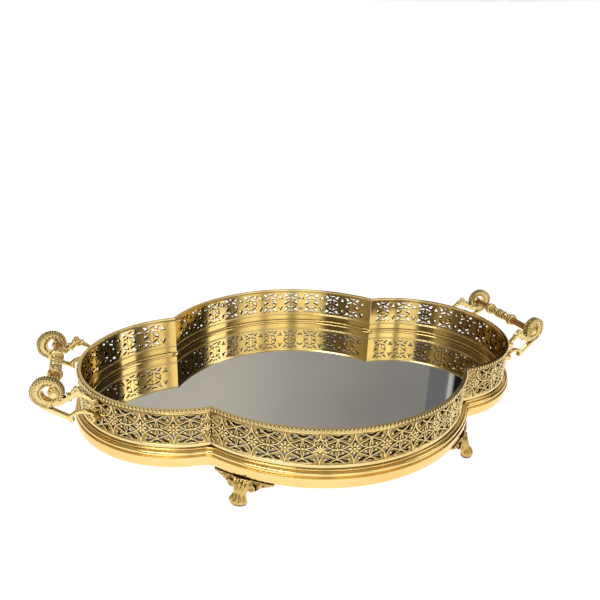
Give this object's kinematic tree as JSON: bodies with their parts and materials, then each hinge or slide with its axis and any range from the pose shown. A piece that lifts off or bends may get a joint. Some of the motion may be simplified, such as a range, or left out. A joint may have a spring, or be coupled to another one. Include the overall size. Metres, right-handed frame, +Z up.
{
  "type": "footed mirror vanity tray",
  "caption": "Four-lobed mirror vanity tray with a pierced gallery, cabriole feet and a scroll handle with a turned crossbar at each end.",
  "frame": {"origin": "on the table, under the centre of the tray", "axes": "+X along the tray from handle to handle, +Y to the back, +Z up"},
  "size_m": [0.4632, 0.3026, 0.0784],
  "materials": {
    "polished_gold": "polished gold-plated brass, lightly lacquered",
    "pierced_gold": "gold-plated cast filigree, satin in the recesses and bright on the raised lines",
    "cast_gold": "gold-plated casting with darker recesses",
    "screw_brass": "turned brass",
    "sheet_brass": "brushed sheet brass",
    "felt": "pressed felt",
    "mirror": "silvered float glass"
  },
  "bodies": {
    "root": {"backing_pad": "felt", "bar_screw_left_back": "screw_brass", "bar_screw_left_front": "screw_brass", "bar_screw_right_back": "screw_brass", "bar_screw_right_front": "screw_brass", "base_frame": "polished_gold", "base_plate": "sheet_brass", "bracket_screw_left_back_lower": "screw_brass", "bracket_screw_left_back_upper": "screw_brass", "bracket_screw_left_front_lower": "screw_brass", "bracket_screw_left_front_upper": "screw_brass", "bracket_screw_right_back_lower": "screw_brass", "bracket_screw_right_back_upper": "screw_brass", "bracket_screw_right_front_lower": "screw_brass", "bracket_screw_right_front_upper": "screw_brass", "foot_back_left": "cast_gold", "foot_back_right": "cast_gold", "foot_front_left": "cast_gold", "foot_front_right": "cast_gold", "foot_screw_back_left_inner": "screw_brass", "foot_screw_back_left_outer": "screw_brass", "foot_screw_back_right_inner": "screw_brass", "foot_screw_back_right_outer": "screw_brass", "foot_screw_front_left_inner": "screw_brass", "foot_screw_front_left_outer": "screw_brass", "foot_screw_front_right_inner": "screw_brass", "foot_screw_front_right_outer": "screw_brass", "gallery_back": "pierced_gold", "gallery_front": "pierced_gold", "gallery_left": "pierced_gold", "gallery_right": "pierced_gold", "handle_bar_left": "cast_gold", "handle_bar_right": "cast_gold", "handle_bracket_left_back": "cast_gold", "handle_bracket_left_front": "cast_gold", "handle_bracket_right_back": "cast_gold", "handle_bracket_right_front": "cast_gold", "mirror_glass": "mirror"}
  },
  "joints": []
}
